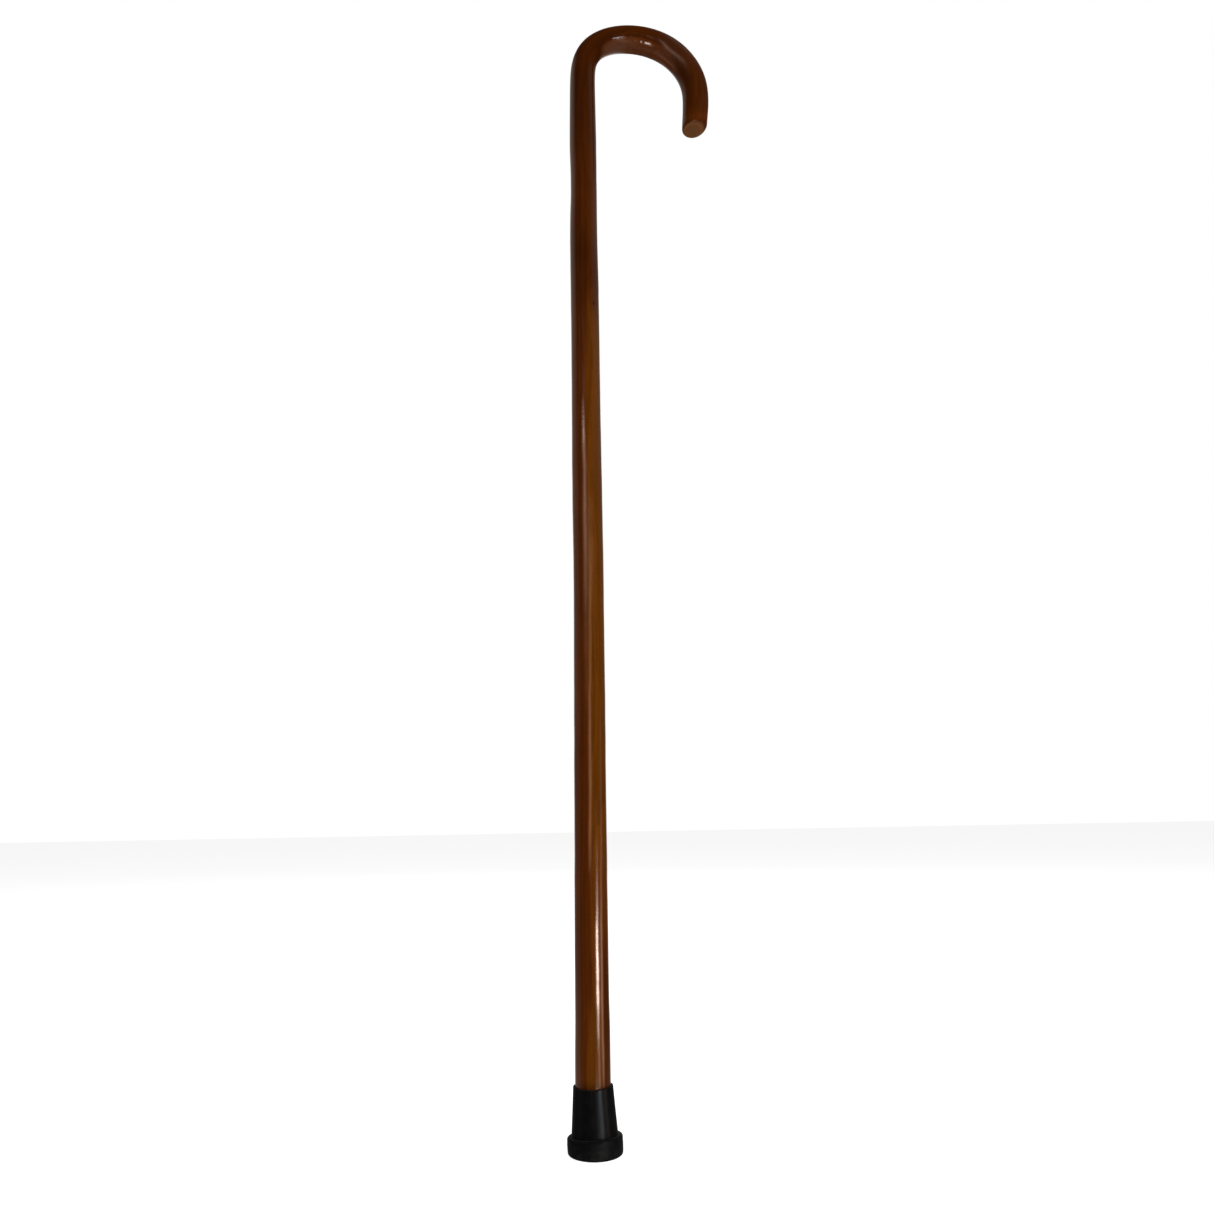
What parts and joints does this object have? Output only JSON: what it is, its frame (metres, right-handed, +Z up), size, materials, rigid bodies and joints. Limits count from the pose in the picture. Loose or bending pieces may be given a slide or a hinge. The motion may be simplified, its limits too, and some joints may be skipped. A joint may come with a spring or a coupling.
{
  "type": "crook-handled walking stick",
  "caption": "Wooden walking stick: a straight varnished shaft steam-bent at the top into a round crook handle, standing on a flanged push-on rubber ferrule.",
  "frame": {"origin": "centre of the rubber ferrule's underside, on the floor and on the shaft's axis", "axes": "+Z up along the shaft, +X the way the crook reaches, the crook lies in the XZ plane"},
  "size_m": [0.132, 0.0388, 0.9144],
  "materials": {
    "varnished_wood": "stained red-brown under gloss varnish",
    "black_rubber": "moulded, dull",
    "zinc_plated_steel": "zinc plated, dull"
  },
  "bodies": {
    "ferrule": {"rubber_ferrule": "black_rubber", "ferrule_washer": "zinc_plated_steel"},
    "stick": {"stick": "varnished_wood"}
  },
  "joints": [
    {"name": "ferrule_pull_off", "type": "slide", "parent": "ferrule", "child": "stick", "axis": [0, 0, 1], "range_m": [0, 0.05]}
  ]
}
